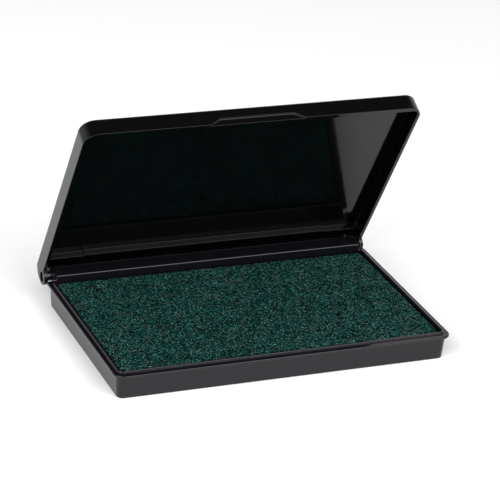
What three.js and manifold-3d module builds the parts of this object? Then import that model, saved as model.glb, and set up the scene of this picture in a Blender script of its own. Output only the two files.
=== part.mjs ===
// A hinged ink pad for rubber stamps: a shallow moulded case whose well holds a cloth-covered
// felt block, and a lid that clips onto two pegs at the back of the case.
// Millimetres, +X along the long side, +Y towards the hinge, +Z up.
// The origin is the centre of the case's underside.
import * as THREE from "three";
import { mergeVertices } from "three/addons/utils/BufferGeometryUtils.js";
import Module from "manifold-3d";

const wasm = await Module();
wasm.setup();

// Case
const CASE_WIDTH = 169; // over the lip
const CASE_DEPTH = 100.5;
const LEDGE_HEIGHT = 12.6; // the flat ledge that the closed lid rests on
const LIP_THICKNESS = 1.3;
const LIP_RADIUS = 5.4; // in plan, at the front
const LIP_REAR_RADIUS = 1.5; // nearly square at the back
const LEAST_CORNER = 0.2;
const LIP_EDGE = 0.3; // rounding of the lip's two edges
const WALL_INSET = 1.7; // from the lip's edge to the wall under it
const FOOT_INSET = 2.4; // the wall leans in towards the foot
const FOOT_CHAMFER = 0.4;
const RIM_FRONT = 3.2; // from the lip's edge to the rim that keeps ink off the ledge
const RIM_SIDE = 2.2;
const RIM_BACK = 1.6;
const RIM_RADIUS = 3; // in plan
const RIM_WIDTH = 1.3;
const RIM_HEIGHT = 0.9;
const RIM_ROUND = 0.5;
const WELL_DRAFT = 0.5;
const WELL_FILLET = 0.8;
const FLOOR = 1.8;

// Hinge
const HINGE_Y = 55.7;
const HINGE_Z = 12.5;
const BARREL_RADIUS = 3.9;
const BEAM_SHELL = 1.6;
const BEAM_HALF_LENGTH = 80;
const BEAM_END = 3.6; // solid end that carries the peg
const BEAM_PROUD = 0.1; // the beam stands this far into the well
const BEAM_FRONT = CASE_DEPTH / 2 - RIM_BACK - RIM_WIDTH - BEAM_PROUD;
const BAY_SETBACK = 0.4; // from the lip's edge to the beam's bays
const BEAM_BAY_FRONT = CASE_DEPTH / 2 + BAY_SETBACK;
const BEAM_WRAP = -Math.PI / 6; // the barrel's shell ends this far round at the back
const BEAM_ROUND = 0.7;
const RIB_THICKNESS = 1.4;
const BAY_COUNT = 7; // the beam is cored out from below between its ribs
const GUSSET_HEIGHT = 8.3; // where the beam's ribs meet the case's rear wall
const PEG_RADIUS = 2.35;
const PEG_TIP = 84.2;
const EAR_HOLE_RADIUS = 2.5;

// Lid, drawn shut about the hinge axis and then turned open
const LID_OPENING = 61.7; // degrees from shut
const LID_HALF_WIDTH = 84.9;
const LID_OVERHANG = 1.2; // past the lip at the front
const LID_FRONT = CASE_DEPTH / 2 + LID_OVERHANG + HINGE_Y; // from the axis
const LID_TOP = 9.5;
const LID_EDGE = 0.3; // the skirt's open edge stays this far above the axis
const LID_PLAN_RADIUS = 7;
const LID_TOP_ROUND = 1.5;
const LID_REAR_ROUND = 7;
const LID_PANEL = 1.8;
const SIDE_SKIRT = 1.7;
const FRONT_SKIRT = 2.4;
const REAR_WALL = 1.7;
const REAR_WALL_EDGE = 4.6; // the rear wall stops above the barrel
const INNER_FILLET = 0.8;
const INNER_PLAN_RADIUS = 3; // tight enough to clear the corners of the case's rim
const EAR_RADIUS = 4;
const EAR_THICKNESS = 2;
const EAR_FRONT = -6;
const EAR_CORNER = 1;
const HINGE_RIB_BACK = -5.8;
const HINGE_RIB_FRONT = -7.3;
const STIFFENER_FRONT = -8;
const STIFFENER_HALF_LENGTH = 63.5;

// Thumb recess in the lid's front skirt
const THUMB_TOP = 3.7;
const THUMB_TOP_HALF_WIDTH = 18.5;
const THUMB_EDGE_HALF_WIDTH = 24;
const THUMB_DEPTH = 0.8;
const THUMB_BEVEL = 0.4;

// Pad
const PAD_HALF_WIDTH = 80;
const PAD_FRONT = -44;
const PAD_BACK = 46;
const PAD_TOP = 12.7;
const PAD_CORNER = 1.2;
const PAD_EDGE = 0.5;
const CLOTH_THICKNESS = 1.2;
const FIT_GAP = 0.3; // between touching pieces

const PAST = 5; // how far a cutter runs past what it cuts
const BITE = 0.2; // how far a rib runs into what it stands on
const ARC_SEGMENTS = 6;
const EDGE_STEPS = 4; // in a rounded edge
const PEG_SIDES = 32;

const blackPlastic = new THREE.MeshStandardMaterial({ color: 0x0b0b0c, roughness: 0.12, metalness: 0 });
const satinBlackPlastic = new THREE.MeshStandardMaterial({ color: 0x101012, roughness: 0.25, metalness: 0 });
const inkedCloth = new THREE.MeshStandardMaterial({ color: 0x1e3a36, roughness: 0.95, metalness: 0 });
const inkedFelt = new THREE.MeshStandardMaterial({ color: 0x142a27, roughness: 1, metalness: 0 });

// A three.js geometry as a manifold-3d solid.
function solid(geometry) {
  const bare = geometry.index ? geometry.toNonIndexed() : geometry.clone();
  bare.deleteAttribute("normal");
  bare.deleteAttribute("uv");
  const merged = mergeVertices(bare, 1e-4);
  return new wasm.Manifold(
    new wasm.Mesh({
      numProp: 3,
      vertProperties: merged.attributes.position.array,
      triVerts: new Uint32Array(merged.index.array),
    }),
  );
}

// A manifold-3d solid as a three.js geometry with flat normals.
function geometryOf(made) {
  const mesh = made.getMesh();
  const geometry = new THREE.BufferGeometry();
  geometry.setAttribute("position", new THREE.BufferAttribute(mesh.vertProperties, 3));
  geometry.setIndex(new THREE.BufferAttribute(mesh.triVerts, 1));
  const flat = geometry.toNonIndexed();
  flat.computeVertexNormals();
  return flat;
}

// A rounded rectangle raised through levels, each [height, inset from the outline].
function layered({ left, right, front, back, radius, backRadius = radius }, levels) {
  const outline = new THREE.Shape();
  outline.absarc(right - radius, front + radius, radius, -Math.PI / 2, 0);
  outline.absarc(right - backRadius, back - backRadius, backRadius, 0, Math.PI / 2);
  outline.absarc(left + backRadius, back - backRadius, backRadius, Math.PI / 2, Math.PI);
  outline.absarc(left + radius, front + radius, radius, Math.PI, 1.5 * Math.PI);
  const top = levels.length - 1;
  const geometry = new THREE.ExtrudeGeometry(outline, {
    depth: top,
    steps: top,
    bevelEnabled: false,
    curveSegments: ARC_SEGMENTS,
  });
  const position = geometry.getAttribute("position");
  const middle = new THREE.Vector2((left + right) / 2, (front + back) / 2);
  for (let i = 0; i < position.count; i++) {
    const [height, inset] = levels[Math.round(position.getZ(i))];
    const x = position.getX(i);
    const y = position.getY(i);
    const full = y > middle.y ? backRadius : radius;
    const kept = Math.max(full - inset, LEAST_CORNER);
    const centreX = x > middle.x ? right - full : left + full;
    const centreY = y > middle.y ? back - full : front + full;
    const insetX = x > middle.x ? right - inset - kept : left + inset + kept;
    const insetY = y > middle.y ? back - inset - kept : front + inset + kept;
    const newX = insetX + ((x - centreX) * kept) / full;
    const newY = insetY + ((y - centreY) * kept) / full;
    position.setXYZ(i, newX, newY, height);
  }
  return solid(geometry);
}

// The levels of a rounded edge between an upright side at some inset and a flat at some height.
// The edge is at the top or the bottom of its side, and turns inward (1) or outward (-1).
function roundedEdge(height, inset, radius, { atTop = true, inward = 1 } = {}) {
  const levels = [];
  for (let i = 0; i <= EDGE_STEPS; i++) {
    const angle = (i / EDGE_STEPS) * (Math.PI / 2);
    const below = radius * (1 - Math.sin(angle));
    const shrink = radius * (1 - Math.cos(angle));
    levels.push([atTop ? height - below : height + below, inset + inward * shrink]);
  }
  return atTop ? levels : levels.reverse();
}

// A side view, drawn in y and z, run along X from one end to the other.
function alongX(outline, fromX, toX) {
  const geometry = new THREE.ExtrudeGeometry(outline, {
    depth: toX - fromX,
    bevelEnabled: false,
    curveSegments: 2 * ARC_SEGMENTS,
  });
  // The drawing's x, y and depth become the part's y, z and x.
  const turn = new THREE.Matrix4().makeBasis(
    new THREE.Vector3(0, 1, 0),
    new THREE.Vector3(0, 0, 1),
    new THREE.Vector3(1, 0, 0),
  );
  geometry.applyMatrix4(turn);
  geometry.translate(fromX, 0, 0);
  return solid(geometry);
}

function block(fromX, toX, fromY, toY, fromZ, toZ) {
  const geometry = new THREE.BoxGeometry(toX - fromX, toY - fromY, toZ - fromZ);
  geometry.translate((fromX + toX) / 2, (fromY + toY) / 2, (fromZ + toZ) / 2);
  return solid(geometry);
}

// A round bar along X.
function bar(radius, fromX, toX, y, z) {
  const geometry = new THREE.CylinderGeometry(radius, radius, toX - fromX, PEG_SIDES);
  geometry.rotateZ(Math.PI / 2);
  geometry.translate((fromX + toX) / 2, y, z);
  return solid(geometry);
}

function lipOutline() {
  return {
    left: -CASE_WIDTH / 2,
    right: CASE_WIDTH / 2,
    front: -CASE_DEPTH / 2,
    back: CASE_DEPTH / 2,
    radius: LIP_RADIUS,
    backRadius: LIP_REAR_RADIUS,
  };
}

// The outside of the rim round the well.
function rimOutline() {
  return {
    left: RIM_SIDE - CASE_WIDTH / 2,
    right: CASE_WIDTH / 2 - RIM_SIDE,
    front: RIM_FRONT - CASE_DEPTH / 2,
    back: CASE_DEPTH / 2 - RIM_BACK,
    radius: RIM_RADIUS,
  };
}

// The case's outside: foot, leaning wall, lip, ledge and the rounded rim on it.
function caseShell() {
  const lipUnder = LEDGE_HEIGHT - LIP_THICKNESS;
  const walls = layered(lipOutline(), [
    [0, FOOT_INSET + FOOT_CHAMFER],
    [FOOT_CHAMFER, FOOT_INSET],
    [lipUnder, WALL_INSET],
    [lipUnder, LIP_EDGE],
    [lipUnder + LIP_EDGE, 0],
    [LEDGE_HEIGHT - LIP_EDGE, 0],
    [LEDGE_HEIGHT, LIP_EDGE],
  ]);
  const rim = layered(rimOutline(), [
    [LEDGE_HEIGHT - BITE, 0],
    ...roundedEdge(LEDGE_HEIGHT + RIM_HEIGHT, 0, RIM_ROUND),
  ]);
  return walls.add(rim);
}

// What is cut out for the pad, with a filleted floor and a rounded inner edge to the rim.
function caseWell() {
  const rimTop = LEDGE_HEIGHT + RIM_HEIGHT;
  return layered(rimOutline(), [
    ...roundedEdge(FLOOR, RIM_WIDTH + WELL_DRAFT, WELL_FILLET, { atTop: false }),
    ...roundedEdge(rimTop, RIM_WIDTH, RIM_ROUND, { inward: -1 }),
    [rimTop + PAST, RIM_WIDTH - RIM_ROUND],
  ]);
}

// The beam's side view: flat on top, with a rounded barrel at the back about the hinge axis.
function beamOutline() {
  const top = HINGE_Z + BARREL_RADIUS;
  const outline = new THREE.Shape();
  outline.moveTo(BEAM_FRONT, GUSSET_HEIGHT);
  outline.lineTo(BEAM_FRONT, top - BEAM_ROUND);
  outline.absarc(BEAM_FRONT + BEAM_ROUND, top - BEAM_ROUND, BEAM_ROUND, Math.PI, Math.PI / 2, true);
  outline.absarc(HINGE_Y, HINGE_Z, BARREL_RADIUS, Math.PI / 2, BEAM_WRAP, true);
  outline.lineTo(BEAM_BAY_FRONT, GUSSET_HEIGHT);
  return outline;
}

// The side view of a bay: it leaves a shell round the barrel and is open underneath.
function bayOutline() {
  const inner = BARREL_RADIUS - BEAM_SHELL;
  const outline = new THREE.Shape();
  outline.moveTo(BEAM_BAY_FRONT, GUSSET_HEIGHT - PAST);
  outline.lineTo(BEAM_BAY_FRONT, HINGE_Z + inner);
  outline.absarc(HINGE_Y, HINGE_Z, inner, Math.PI / 2, BEAM_WRAP, true);
  outline.lineTo(HINGE_Y + inner * Math.cos(BEAM_WRAP), GUSSET_HEIGHT - PAST);
  return outline;
}

function hingeBeam() {
  const end = BEAM_HALF_LENGTH;
  let beam = alongX(beamOutline(), -end, end);
  const bays = 2 * (end - BEAM_END);
  const pitch = (bays + RIB_THICKNESS) / BAY_COUNT;
  for (let i = 0; i < BAY_COUNT; i++) {
    const start = i * pitch - bays / 2;
    beam = beam.subtract(alongX(bayOutline(), start, start + pitch - RIB_THICKNESS));
  }
  const pegRoot = end - BEAM_END / 2;
  beam = beam.add(bar(PEG_RADIUS, -PEG_TIP, -pegRoot, HINGE_Y, HINGE_Z));
  return beam.add(bar(PEG_RADIUS, pegRoot, PEG_TIP, HINGE_Y, HINGE_Z));
}

function caseGeometry() {
  return geometryOf(caseShell().subtract(caseWell()).add(hingeBeam()));
}

// The lid's side view: skirt, ears about the axis, and the rounded back.
function lidOutline() {
  const outline = new THREE.Shape();
  const earStart = Math.PI - Math.asin(LID_EDGE / EAR_RADIUS);
  outline.moveTo(-LID_FRONT - PAST, LID_TOP);
  outline.lineTo(-LID_FRONT - PAST, LID_EDGE);
  outline.absarc(0, 0, EAR_RADIUS, earStart, 2 * Math.PI, false);
  outline.absarc(EAR_RADIUS - LID_REAR_ROUND, LID_TOP - LID_REAR_ROUND, LID_REAR_ROUND, 0, Math.PI / 2, false);
  return outline;
}

// The lid's plan, with rounded front corners and a rounded edge round the top.
function lidBlock() {
  const levels = [[-EAR_RADIUS - PAST, 0], ...roundedEdge(LID_TOP, 0, LID_TOP_ROUND)];
  const plan = {
    left: -LID_HALF_WIDTH,
    right: LID_HALF_WIDTH,
    front: -LID_FRONT,
    back: EAR_RADIUS + LID_PLAN_RADIUS + PAST,
    radius: LID_PLAN_RADIUS,
  };
  return layered(plan, levels);
}

// The hollow's side view, rounded inside the lid's back so that the rear wall is even.
function hollowOutline() {
  const outline = new THREE.Shape();
  const below = -EAR_RADIUS - PAST;
  outline.moveTo(-LID_FRONT - PAST, LID_TOP - REAR_WALL);
  outline.lineTo(-LID_FRONT - PAST, below);
  outline.lineTo(EAR_RADIUS - REAR_WALL, below);
  const radius = LID_REAR_ROUND - REAR_WALL;
  outline.absarc(EAR_RADIUS - LID_REAR_ROUND, LID_TOP - LID_REAR_ROUND, radius, 0, Math.PI / 2, false);
  return outline;
}

function lidHollow() {
  const ceiling = LID_TOP - LID_PANEL;
  const levels = [[-EAR_RADIUS - PAST, 0], ...roundedEdge(ceiling, 0, INNER_FILLET)];
  const skirtSpace = {
    left: SIDE_SKIRT - LID_HALF_WIDTH,
    right: LID_HALF_WIDTH - SIDE_SKIRT,
    front: FRONT_SKIRT - LID_FRONT,
    back: EAR_FRONT,
    radius: INNER_PLAN_RADIUS,
  };
  const earSpace = {
    left: EAR_THICKNESS - LID_HALF_WIDTH,
    right: LID_HALF_WIDTH - EAR_THICKNESS,
    front: EAR_FRONT - 2 * LID_PLAN_RADIUS,
    back: EAR_RADIUS - REAR_WALL,
    radius: EAR_CORNER,
  };
  const space = layered(skirtSpace, levels).add(layered(earSpace, levels));
  return space.intersect(alongX(hollowOutline(), -LID_HALF_WIDTH, LID_HALF_WIDTH));
}

// The barrel passes between the ears, so the rear wall is cut away round it.
function barrelSpace() {
  const inside = LID_HALF_WIDTH - EAR_THICKNESS;
  return block(-inside, inside, 0, EAR_RADIUS + PAST, -EAR_RADIUS - PAST, REAR_WALL_EDGE);
}

// A rib across the hinge side of the panel, thicker along its middle.
function hingeRib() {
  const top = LID_TOP - LID_PANEL + BITE;
  const inside = LID_HALF_WIDTH - EAR_THICKNESS + BITE;
  const rib = block(-inside, inside, HINGE_RIB_FRONT, HINGE_RIB_BACK, REAR_WALL_EDGE, top);
  const half = STIFFENER_HALF_LENGTH;
  return rib.add(block(-half, half, STIFFENER_FRONT, HINGE_RIB_BACK, REAR_WALL_EDGE, top));
}

// A bevelled recess under the middle of the front edge, to lift the lid by.
function thumbRecess() {
  const outline = new THREE.Shape();
  const slope = (THUMB_EDGE_HALF_WIDTH - THUMB_TOP_HALF_WIDTH) / (THUMB_TOP - LID_EDGE);
  const bottom = LID_EDGE - PAST;
  const bottomHalf = THUMB_TOP_HALF_WIDTH + slope * (THUMB_TOP - bottom);
  outline.moveTo(-bottomHalf, bottom);
  outline.lineTo(bottomHalf, bottom);
  outline.lineTo(THUMB_TOP_HALF_WIDTH, THUMB_TOP);
  outline.lineTo(-THUMB_TOP_HALF_WIDTH, THUMB_TOP);
  const geometry = new THREE.ExtrudeGeometry(outline, {
    depth: PAST,
    bevelThickness: THUMB_BEVEL,
    bevelSize: THUMB_BEVEL,
    bevelOffset: -THUMB_BEVEL,
    bevelSegments: 2,
  });
  // The drawing's depth points out of the front of the lid.
  geometry.rotateX(Math.PI / 2);
  geometry.translate(0, THUMB_DEPTH - THUMB_BEVEL - LID_FRONT, 0);
  return solid(geometry);
}

function lidGeometry() {
  const shell = lidBlock()
    .intersect(alongX(lidOutline(), -LID_HALF_WIDTH - PAST, LID_HALF_WIDTH + PAST))
    .subtract(lidHollow())
    .subtract(barrelSpace())
    .add(hingeRib());
  const reach = LID_HALF_WIDTH + PAST;
  return geometryOf(shell.subtract(bar(EAR_HOLE_RADIUS, -reach, reach, 0, 0)).subtract(thumbRecess()));
}

function padOutline(inset) {
  return {
    left: inset - PAD_HALF_WIDTH,
    right: PAD_HALF_WIDTH - inset,
    front: PAD_FRONT + inset,
    back: PAD_BACK - inset,
    radius: PAD_CORNER,
  };
}

// The cloth is a cap: it lies over the felt's face and its sides are turned down to the floor.
function clothGeometry() {
  const foot = FLOOR + FIT_GAP;
  const cap = layered(padOutline(0), [
    [foot, 0],
    [PAD_TOP - PAD_EDGE, 0],
    [PAD_TOP, PAD_EDGE],
  ]);
  const inside = layered(padOutline(CLOTH_THICKNESS), [
    [foot - PAST, 0],
    [PAD_TOP - CLOTH_THICKNESS, 0],
  ]);
  return geometryOf(cap.subtract(inside));
}

function feltGeometry() {
  return geometryOf(
    layered(padOutline(CLOTH_THICKNESS + FIT_GAP), [
      [FLOOR + FIT_GAP, 0],
      [PAD_TOP - CLOTH_THICKNESS - FIT_GAP, 0],
    ]),
  );
}

function named(name, geometry, material) {
  const mesh = new THREE.Mesh(geometry, material);
  mesh.name = name;
  return mesh;
}

const inkPad = new THREE.Group();
inkPad.add(named("base_case", caseGeometry(), satinBlackPlastic));
inkPad.add(named("felt_block", feltGeometry(), inkedFelt));
inkPad.add(named("pad_cloth", clothGeometry(), inkedCloth));

const lidSwing = new THREE.Group();
lidSwing.position.set(0, HINGE_Y, HINGE_Z);
lidSwing.rotation.x = -THREE.MathUtils.degToRad(LID_OPENING);
lidSwing.add(named("lid", lidGeometry(), blackPlastic));
inkPad.add(lidSwing);

export default inkPad;
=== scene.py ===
"""Looks for a hinged ink pad: glossy black moulded case and lid, and a green inked cloth pad.

Metres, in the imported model's own frame: +X along the long side, +Y towards the hinge, +Z up.
"""

import math

import bmesh
import bpy
from mathutils import Matrix, Vector, noise


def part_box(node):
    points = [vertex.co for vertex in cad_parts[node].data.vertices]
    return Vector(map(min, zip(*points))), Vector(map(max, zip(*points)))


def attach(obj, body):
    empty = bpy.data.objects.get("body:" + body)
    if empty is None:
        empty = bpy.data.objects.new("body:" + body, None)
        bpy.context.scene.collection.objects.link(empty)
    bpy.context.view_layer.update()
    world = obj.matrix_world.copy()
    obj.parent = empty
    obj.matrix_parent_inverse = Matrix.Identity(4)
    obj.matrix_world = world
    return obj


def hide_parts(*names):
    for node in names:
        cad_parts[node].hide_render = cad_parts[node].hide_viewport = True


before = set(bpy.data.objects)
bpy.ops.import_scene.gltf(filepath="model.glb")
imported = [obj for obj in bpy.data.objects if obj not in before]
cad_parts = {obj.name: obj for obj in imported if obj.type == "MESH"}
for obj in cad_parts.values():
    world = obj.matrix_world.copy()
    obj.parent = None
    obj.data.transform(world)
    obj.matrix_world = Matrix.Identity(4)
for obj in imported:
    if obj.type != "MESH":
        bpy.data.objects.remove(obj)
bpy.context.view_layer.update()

MM = 0.001

# Camera: a long lens, low and to the left of the front
CAMERA_PLACE = Vector((-0.42907, -0.93260, 0.52078))
CAMERA_YAW = math.radians(-24.627)
CAMERA_PITCH = math.radians(24.942)
CAMERA_ROLL = math.radians(4.951)
CAMERA_LENS = 173.03
CAMERA_SENSOR = 36
CAMERA_NEAREST = 0.01  # nothing nearer than this is drawn

# Table and light
FLOOR_SIZE = 8.0
FLOOR_ALBEDO = 0.92
FLOOR_MOTTLE = 0.01  # how far the albedo varies to either side
FLOOR_MOTTLE_SCALE = 0.6
FLOOR_ROUGHNESS = 0.75
FLOOR_MIRROR = 0.2
SKY_LOW = 1.0  # the white walls round the table
SKY_HIGH = 0.085  # the dark ceiling
SKY_LOW_ENDS = 0.35  # sine of the height where the walls start to darken
SKY_HIGH_STARTS = 0.8
KEY_PLACE = Vector((0.5, -1.4, 1.5))
KEY_POWER = 36.0
FILL_PLACE = Vector((-1.3, -0.8, 1.1))
FILL_POWER = 34.0
SOFTBOX_SIZE = 1.6

# Materials. A scale is the number of a pattern's cells in a millimetre. A mirror value is the strength
# of the reflection, which is that of bare plastic at 0.5.
NOISE_LOW = 0.3  # nearly all of a noise's values lie between these two
NOISE_HIGH = 0.7

# Black plastic
PLASTIC_IOR = 1.5
CASE_PLASTIC = {"colour": (0.0040, 0.0040, 0.0060), "roughness": 0.12, "mirror": 0.38, "texture": 0.25}
# The lid's black is the case's made darker: painted shade for the lid's inner faces, which turn away from
# the lamps
LID_PLASTIC_PAINTED_SHADE = {"colour": (0.0012, 0.0012, 0.0014), "roughness": 0.08, "mirror": 0.31, "texture": 0.15}
FLOW_MARK_SCALE = 0.05
FLOW_MARK_DEPTH = 0.25 * MM
FLOW_MARK_STRENGTH = 0.12
FLOW_MARK_ROUGHNESS = (-0.015, 0.02)  # added to the plastic's own
GRAIN_SCALE = 3.0
GRAIN_DEPTH = 0.01 * MM
GRAIN_DARKEST = 0.8
GRAIN_LIGHTEST = 1.35
GRAIN_ROUGHNESS = (-0.01, 0.015)
SCUFF_SCALE = 1.5
SCUFF_STRETCH = (0.06, 1.1, 1.1)  # the scuffs run along the long side
SCUFF_STARTS = 0.62  # only the highest values of their noise show
SCUFF_FULL = 0.72
SCUFF_ROUGHNESS = 0.16

# Inked cloth
CLOTH_MIRROR = 0.02
CLOTH_ROUGHNESS = (0.7, 0.95)
TUFT_SCALE = 2.2
TUFT_SHARE = 0.4  # of the nap's shade, the rest being fuzz
TUFT_WARP_SCALE = 2.9
TUFT_WARP = 1.2  # in millimetres
FUZZ_SCALE = 3.4
PATCH_SCALE = 0.09
PATCH_SHADE = 0.01
DRY_SCALE = 0.16
DRY_STARTS = 0.44
DRY_FULL = 0.62
DRY_SATURATION = 0.78
WET_SATURATION = 1.1
# Colours of the nap from dark to light: tone that varies at random, with painted shade in the pores at
# the dark end and painted glints at the light end
NAP_SHADE_AND_GLINT_COLOURS = [
    (0.38, (0.0001, 0.0018, 0.0013)),  # pores, painted shade
    (0.54, (0.0004, 0.0110, 0.0088)),
    (0.66, (0.012, 0.078, 0.066)),
    (0.75, (0.200, 0.420, 0.380)),  # painted glints, where fibres would catch the light
]
NAP_DEPTH = 0.4 * MM
NAP_STRENGTH = 0.6
THREAD_SCALE = 0.45  # of a wave that repeats in 0.31 mm, so the threads lie 0.7 mm apart
THREAD_DISTORTION = 0.6
THREAD_DEPTH = 0.05 * MM
THREAD_STRENGTH = 0.2

# Inked felt
FELT_ROUGHNESS = (0.8, 0.98)
FELT_SHEEN = 0.1
FELT_SCALE = 1.4
FELT_STRETCH = (1, 1, 3)  # its fibres lie flat
FELT_COLOURS = [
    (0.3, (0.004, 0.016, 0.014)),
    (0.5, (0.010, 0.032, 0.028)),
    (0.75, (0.03, 0.07, 0.06)),
]
FELT_LUMP_SCALE = 2.5
FELT_LUMP_DEPTH = 0.4 * MM
FELT_LUMP_STRENGTH = 0.8

# Moulded pieces
EDGE_WELD = 0.01 * MM
EDGE_WIDTH = 0.16 * MM
EDGE_STEPS = 2
EDGE_ANGLE = math.radians(35)
FLAT_ANGLE = math.radians(0.6)

# Pad
PAD_STEP = 1.0 * MM  # about how far apart the mesh's lines on the face are
PAD_EDGE = 0.9 * MM  # radius of the rounded edge
PAD_EDGE_STEPS = 5
PAD_SIDE_STEPS = 6
PAD_SKEW_FRONT = 1.6 * MM  # the front edge runs back this far from left to right
PAD_SKEW_BACK = -1.0 * MM  # and the back edge comes forward
SWELL_RISE = 0.10 * MM
SWELL_LENGTH = 22 * MM
RIPPLE_LENGTH = 7 * MM
RIPPLE_SHARE = 0.5  # of the swell's rise
RIPPLE_SLICE = 5  # the height in the noise that the ripples come from, far from the swell's
ON_EDGE = 1e-9  # how near a point counts as on the outline
CLOTH_THICKNESS = 0.7 * MM
FELT_GAP = 0.25 * MM  # between the cloth and the felt


# ---------------------------------------------------------------- camera, table and light


def add_camera():
    sin_yaw, cos_yaw = math.sin(CAMERA_YAW), math.cos(CAMERA_YAW)
    sin_pitch, cos_pitch = math.sin(CAMERA_PITCH), math.cos(CAMERA_PITCH)
    forward = Vector((-sin_yaw * cos_pitch, cos_yaw * cos_pitch, -sin_pitch))
    level = Vector((cos_yaw, sin_yaw, 0))
    upright = level.cross(forward)
    right = math.cos(CAMERA_ROLL) * level + math.sin(CAMERA_ROLL) * upright
    up = math.cos(CAMERA_ROLL) * upright - math.sin(CAMERA_ROLL) * level
    turn = Matrix((right, up, -forward)).transposed().to_4x4()
    data = bpy.data.cameras.new("camera")
    data.lens = CAMERA_LENS
    data.sensor_width = CAMERA_SENSOR
    data.clip_start = CAMERA_NEAREST
    camera = bpy.data.objects.new("camera", data)
    camera.matrix_world = Matrix.Translation(CAMERA_PLACE) @ turn
    bpy.context.scene.collection.objects.link(camera)
    bpy.context.scene.camera = camera


def add_floor():
    half = FLOOR_SIZE / 2
    mesh = bpy.data.meshes.new("floor")
    corners = [(-half, -half, 0), (half, -half, 0), (half, half, 0), (-half, half, 0)]
    mesh.from_pydata(corners, [], [(0, 1, 2, 3)])
    floor = bpy.data.objects.new("floor", mesh)
    bpy.context.scene.collection.objects.link(floor)
    mesh.materials.append(table_material())


def add_sky():
    """White walls that fade to a dark ceiling."""
    world = bpy.data.worlds.new("studio")
    world.use_nodes = True
    nodes = Nodes(world.node_tree, "Background")
    direction = nodes.add("ShaderNodeTexCoord").outputs["Generated"]
    height = nodes.add("ShaderNodeSeparateXYZ", {"Vector": direction}).outputs["Z"]
    low, high = (SKY_LOW,) * 3, (SKY_HIGH,) * 3
    nodes.set(Color=nodes.ramp(height, [(SKY_LOW_ENDS, low), (SKY_HIGH_STARTS, high)]))
    bpy.context.scene.world = world


def add_softbox(name, place, power):
    data = bpy.data.lights.new(name, "AREA")
    data.shape = "SQUARE"
    data.size = SOFTBOX_SIZE
    data.energy = power
    softbox = bpy.data.objects.new(name, data)
    softbox.location = place
    softbox.rotation_euler = (-place).to_track_quat("-Z", "Y").to_euler()
    softbox.visible_camera = False
    bpy.context.scene.collection.objects.link(softbox)


def add_light():
    add_sky()
    add_softbox("key", KEY_PLACE, KEY_POWER)
    add_softbox("fill", FILL_PLACE, FILL_POWER)
    bpy.context.scene.view_settings.view_transform = "Standard"


# ---------------------------------------------------------------- materials


class Nodes:
    """A node tree, with short calls to add and join its nodes."""

    def __init__(self, tree, shader):
        self.tree = tree
        self.shader = tree.nodes[shader]

    def add(self, kind, inputs=None, **settings):
        node = self.tree.nodes.new(kind)
        for key, value in settings.items():
            setattr(node, key, value)
        for key, value in (inputs or {}).items():
            if isinstance(value, bpy.types.NodeSocket):
                self.tree.links.new(value, node.inputs[key])
            else:
                node.inputs[key].default_value = value
        return node

    def set(self, **values):
        for key, value in values.items():
            socket = self.shader.inputs[key.replace("_", " ")]
            if isinstance(value, bpy.types.NodeSocket):
                self.tree.links.new(value, socket)
            else:
                socket.default_value = value

    def millimetres(self, stretch=(1, 1, 1)):
        """The place on the piece, in millimetres, stretched along each axis."""
        place = self.add("ShaderNodeTexCoord").outputs["Object"]
        scale = [s / MM for s in stretch]
        return self.add("ShaderNodeMapping", {"Vector": place, "Scale": scale}).outputs["Vector"]

    def noise(self, place, scale, detail, roughness=0.5):
        inputs = {"Vector": place, "Scale": scale, "Detail": detail, "Roughness": roughness}
        return self.add("ShaderNodeTexNoise", inputs).outputs["Fac"]

    def warped(self, place, scale, amount):
        """The place pushed about at random, so that what is laid out on it gets ragged edges."""
        inputs = {"Vector": place, "Scale": scale, "Detail": 3.0, "Roughness": 0.7}
        wander = self.add("ShaderNodeTexNoise", inputs).outputs["Color"]
        centred = self.vector("SUBTRACT", wander, (0.5, 0.5, 0.5))
        return self.vector("ADD", place, self.vector("MULTIPLY", centred, (amount,) * 3))

    def grains(self, place, scale):
        """A random value for each of the small cells that fill the surface."""
        cells = self.add("ShaderNodeTexVoronoi", {"Vector": place, "Scale": scale})
        return self.add("ShaderNodeSeparateColor", {"Color": cells.outputs["Color"]}).outputs["Red"]

    def between(self, value, low, high, to_low, to_high):
        """The value spread out, so that low becomes to_low and high becomes to_high."""
        inputs = {
            "Value": value,
            "From Min": low,
            "From Max": high,
            "To Min": to_low,
            "To Max": to_high,
        }
        return self.add("ShaderNodeMapRange", inputs).outputs["Result"]

    def vector(self, operation, first, second):
        node = self.add("ShaderNodeVectorMath", {0: first, 1: second}, operation=operation)
        return node.outputs["Vector"]

    def math(self, operation, first, second):
        node = self.add("ShaderNodeMath", {0: first, 1: second}, operation=operation)
        return node.outputs["Value"]

    def ramp(self, value, stops):
        node = self.add("ShaderNodeValToRGB", {"Fac": value})
        elements = node.color_ramp.elements
        while len(elements) < len(stops):
            elements.new(1.0)
        for element, (position, colour) in zip(elements, stops):
            element.position = position
            element.color = (*colour, 1)
        return node.outputs["Color"]

    def bump(self, height, strength, distance, normal=None):
        inputs = {"Height": height, "Strength": strength, "Distance": distance}
        if normal is not None:
            inputs["Normal"] = normal
        return self.add("ShaderNodeBump", inputs).outputs["Normal"]


def new_material(name):
    material = bpy.data.materials.new(name)
    material.use_nodes = True
    return material, Nodes(material.node_tree, "Principled BSDF")


def table_material():
    material, nodes = new_material("white_table")
    mottle = nodes.noise(nodes.millimetres(), FLOOR_MOTTLE_SCALE, detail=3.0)
    darker = (FLOOR_ALBEDO - FLOOR_MOTTLE,) * 3
    lighter = (FLOOR_ALBEDO + FLOOR_MOTTLE,) * 3
    colour = nodes.ramp(mottle, [(NOISE_LOW, darker), (NOISE_HIGH, lighter)])
    nodes.set(Base_Color=colour, Roughness=FLOOR_ROUGHNESS, Specular_IOR_Level=FLOOR_MIRROR)
    return material


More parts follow.
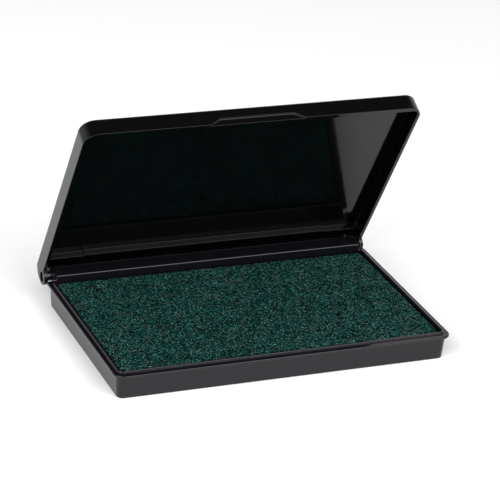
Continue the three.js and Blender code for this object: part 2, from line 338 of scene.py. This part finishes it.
def plastic_material(name, colour, roughness, mirror, texture):
    """Black styrene: near-mirror gloss, broken up by flow marks, fine grain and hairline scuffs."""
    material, nodes = new_material(name)
    place = nodes.millimetres()
    flow = nodes.noise(place, FLOW_MARK_SCALE, detail=3.0)
    grain = nodes.noise(place, GRAIN_SCALE, detail=3.0, roughness=0.6)
    scuffs = nodes.noise(nodes.millimetres(SCUFF_STRETCH), SCUFF_SCALE, detail=4.0, roughness=0.7)

    cloudy_range = [roughness + change for change in FLOW_MARK_ROUGHNESS]
    cloudy = nodes.between(flow, NOISE_LOW, NOISE_HIGH, *cloudy_range)
    fine = nodes.between(grain, NOISE_LOW, NOISE_HIGH, *GRAIN_ROUGHNESS)
    scuffed = nodes.between(scuffs, SCUFF_STARTS, SCUFF_FULL, 0.0, SCUFF_ROUGHNESS)
    uneven = nodes.math("ADD", nodes.math("ADD", cloudy, fine), scuffed)

    darkest = [GRAIN_DARKEST * c for c in colour]
    lightest = [GRAIN_LIGHTEST * c for c in colour]
    tint = nodes.ramp(grain, [(0.35, darkest), (0.5, colour), (0.8, lightest)])

    ripples = nodes.bump(flow, FLOW_MARK_STRENGTH, FLOW_MARK_DEPTH)
    normal = nodes.bump(grain, texture, GRAIN_DEPTH, ripples)
    nodes.set(Base_Color=tint, Roughness=uneven, IOR=PLASTIC_IOR)
    nodes.set(Specular_IOR_Level=mirror, Normal=normal)
    return material


def cloth_material():
    """Fine cotton soaked in green ink: a fuzzy random nap, its colour holding painted shade in dark pores
    and painted glints on the fibres.

    The ink is a little lighter or darker in large patches, and greyer in smaller ones that are drier.
    """
    material, nodes = new_material("inked_cloth")
    place = nodes.millimetres()
    tufts = nodes.grains(nodes.warped(place, TUFT_WARP_SCALE, TUFT_WARP), TUFT_SCALE)
    fuzz = nodes.noise(place, FUZZ_SCALE, detail=3.0, roughness=0.7)
    nap = nodes.math(
        "ADD",
        nodes.math("MULTIPLY", tufts, TUFT_SHARE),
        nodes.math("MULTIPLY", fuzz, 1 - TUFT_SHARE),
    )
    patches = nodes.noise(place, PATCH_SCALE, detail=3.0, roughness=0.6)
    patchy = nodes.between(patches, NOISE_LOW, NOISE_HIGH, -PATCH_SHADE, PATCH_SHADE)
    shade = nodes.math("ADD", nap, patchy)

    dry = nodes.noise(place, DRY_SCALE, detail=3.0, roughness=0.65)
    saturation = nodes.between(dry, DRY_STARTS, DRY_FULL, WET_SATURATION, DRY_SATURATION)
    # The nap's colour holds painted shade in its pores and painted glints on its fibres
    inputs = {"Color": nodes.ramp(shade, NAP_SHADE_AND_GLINT_COLOURS), "Saturation": saturation}
    colour = nodes.add("ShaderNodeHueSaturation", inputs).outputs["Color"]

    roughness = nodes.between(fuzz, NOISE_LOW, NOISE_HIGH, *CLOTH_ROUGHNESS)
    fuzzy = nodes.bump(shade, NAP_STRENGTH, NAP_DEPTH)
    threads = nodes.math("MAXIMUM", thread_height(nodes, "X"), thread_height(nodes, "Y"))
    normal = nodes.bump(threads, THREAD_STRENGTH, THREAD_DEPTH, fuzzy)
    nodes.set(Base_Color=colour, Roughness=roughness, Specular_IOR_Level=CLOTH_MIRROR, Normal=normal)
    return material


def thread_height(nodes, axis):
    """Threads side by side along one axis, a little crooked."""
    inputs = {
        "Vector": nodes.millimetres(),
        "Scale": THREAD_SCALE,
        "Distortion": THREAD_DISTORTION,
        "Detail Scale": 2.0,
    }
    return nodes.add("ShaderNodeTexWave", inputs, bands_direction=axis).outputs["Fac"]


def felt_material():
    """Dense felt full of green ink."""
    material, nodes = new_material("inked_felt")
    fibres = nodes.noise(nodes.millimetres(FELT_STRETCH), FELT_SCALE, detail=4.0, roughness=0.7)
    colour = nodes.ramp(fibres, FELT_COLOURS)
    lumps = nodes.noise(nodes.millimetres(), FELT_LUMP_SCALE, detail=3.0)
    normal = nodes.bump(lumps, FELT_LUMP_STRENGTH, FELT_LUMP_DEPTH)
    roughness = nodes.between(fibres, NOISE_LOW, NOISE_HIGH, *FELT_ROUGHNESS)
    nodes.set(Base_Color=colour, Roughness=roughness, Normal=normal, Sheen_Weight=FELT_SHEEN)
    return material


# ---------------------------------------------------------------- moulded pieces


def finish_moulding(name, material):
    """Gives a CAD piece its plastic, and rounds its sharp edges a little so that they catch light."""
    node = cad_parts[name]
    node.material_slots[0].material = material
    weld = node.modifiers.new("weld", "WELD")
    weld.merge_threshold = EDGE_WELD
    flats = node.modifiers.new("flats", "DECIMATE")
    flats.decimate_type = "DISSOLVE"
    flats.angle_limit = FLAT_ANGLE
    edges = node.modifiers.new("edges", "BEVEL")
    edges.limit_method = "ANGLE"
    edges.angle_limit = EDGE_ANGLE
    edges.width = EDGE_WIDTH
    edges.segments = EDGE_STEPS
    edges.use_clamp_overlap = False
    node.modifiers.new("shading", "WEIGHTED_NORMAL")


# ---------------------------------------------------------------- pad


def skewed(x, y, low, high):
    """The y of a point of the pad's regular outline on the real pad, whose long edges aren't parallel."""
    along = (x - low.x) / (high.x - low.x) - 0.5
    back = (y - low.y) / (high.y - low.y)
    return y + along * ((1 - back) * PAD_SKEW_FRONT + back * PAD_SKEW_BACK)


def unevenness(x, y):
    """How far the pad's face rises or falls at a place: a wide swell with smaller ripples on it."""
    swell = noise.noise(Vector((x, y, 0)) / SWELL_LENGTH)
    ripple = noise.noise(Vector((x, y, RIPPLE_SLICE)) / RIPPLE_LENGTH)
    return SWELL_RISE * (swell + RIPPLE_SHARE * ripple)


def outward(point, low, high):
    """The way that the rounded edge turns over from a point of the flat top's outline.

    It is square to the outline, and diagonal at a corner.
    """
    way = Vector((0, 0))
    if point.x <= low.x + ON_EDGE:
        way.x = -1
    if point.x >= high.x - ON_EDGE:
        way.x = 1
    if point.y <= low.y + ON_EDGE:
        way.y = -1
    if point.y >= high.y - ON_EDGE:
        way.y = 1
    return way.normalized()


def add_flat_top(mesh, low, high, height):
    """Adds a flat grid of quads to the mesh, and gives the points round its outline in order."""
    columns = round((high.x - low.x + 2 * PAD_EDGE) / PAD_STEP)
    rows = round((high.y - low.y + 2 * PAD_EDGE) / PAD_STEP)
    grid = []
    for j in range(rows + 1):
        y = low.y + (high.y - low.y) * j / rows
        row = []
        for i in range(columns + 1):
            x = low.x + (high.x - low.x) * i / columns
            row.append(mesh.verts.new((x, y, height)))
        grid.append(row)
    for j in range(rows):
        for i in range(columns):
            mesh.faces.new((grid[j][i], grid[j][i + 1], grid[j + 1][i + 1], grid[j + 1][i]))
    front = grid[0][:-1]
    right = [row[-1] for row in grid[:-1]]
    back = grid[-1][:0:-1]
    left = [row[0] for row in grid[:0:-1]]
    return front + right + back + left


def edge_levels(top, bottom):
    """The rounded edge and the upright side as levels, each (reach out from the flat top, height)."""
    levels = []
    for k in range(1, PAD_EDGE_STEPS + 1):
        angle = k / PAD_EDGE_STEPS * math.pi / 2
        levels.append((PAD_EDGE * math.sin(angle), top - PAD_EDGE * (1 - math.cos(angle))))
    side = top - PAD_EDGE - bottom
    for k in range(1, PAD_SIDE_STEPS + 1):
        levels.append((PAD_EDGE, top - PAD_EDGE - side * k / PAD_SIDE_STEPS))
    return levels


def add_sides(mesh, ring, directions, levels):
    """Adds bands of quads to the mesh, from the flat top's outline down through the levels."""
    inner = ring
    for reach, height in levels:
        outer = []
        for v, way in zip(ring, directions):
            outer.append(mesh.verts.new((v.co.x + way.x * reach, v.co.y + way.y * reach, height)))
        for k in range(len(ring)):
            after = (k + 1) % len(ring)
            mesh.faces.new((inner[k], outer[k], outer[after], inner[after]))
        inner = outer


def capped(name, low, high):
    """A block's top and sides as one skin of quads, with a rounded edge and a slightly uneven top."""
    mesh = bmesh.new()
    flat_low = Vector((low.x + PAD_EDGE, low.y + PAD_EDGE))
    flat_high = Vector((high.x - PAD_EDGE, high.y - PAD_EDGE))
    ring = add_flat_top(mesh, flat_low, flat_high, high.z)
    directions = [outward(v.co, flat_low, flat_high) for v in ring]
    add_sides(mesh, ring, directions, edge_levels(high.z, low.z))
    for v in mesh.verts:
        x, y, z = v.co
        rise = unevenness(x, y) if z > high.z - PAD_EDGE else 0
        v.co = (x, skewed(x, y, low, high), z + rise)
    data = bpy.data.meshes.new(name)
    mesh.to_mesh(data)
    mesh.free()
    data.shade_smooth()
    piece = bpy.data.objects.new(name, data)
    bpy.context.scene.collection.objects.link(piece)
    return piece


def close_underside(piece):
    mesh = bmesh.new()
    mesh.from_mesh(piece.data)
    bmesh.ops.contextual_create(mesh, geom=[e for e in mesh.edges if e.is_boundary])
    mesh.to_mesh(piece.data)
    mesh.free()


def add_cloth(low, high):
    """The cloth over the pad's face and sides, as a shell whose thickness goes inward."""
    cloth = capped("pad_cloth_cover", low, high)
    thickness = cloth.modifiers.new("thickness", "SOLIDIFY")
    thickness.thickness = CLOTH_THICKNESS
    thickness.offset = -1
    cloth.data.materials.append(cloth_material())
    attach(cloth, "case")
    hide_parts("pad_cloth")
    return cloth


def add_felt(low, high):
    """The felt block that fills the cloth."""
    gap = CLOTH_THICKNESS + FELT_GAP
    felt = capped("felt_pad", low + Vector((gap, gap, 0)), high - Vector((gap, gap, gap)))
    close_underside(felt)
    felt.data.materials.append(felt_material())
    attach(felt, "case")
    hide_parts("felt_block")
    return felt


def add_pad():
    """The cloth and its felt, built over the box of the CAD's pad."""
    low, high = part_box("pad_cloth")
    cloth = add_cloth(low, high)
    felt = add_felt(low, high)


add_camera()
add_floor()
add_light()
finish_moulding("base_case", plastic_material("case_plastic", **CASE_PLASTIC))
# The lid's plastic carries painted shade in its darker colour
finish_moulding("lid", plastic_material("lid_plastic", **LID_PLASTIC_PAINTED_SHADE))
add_pad()
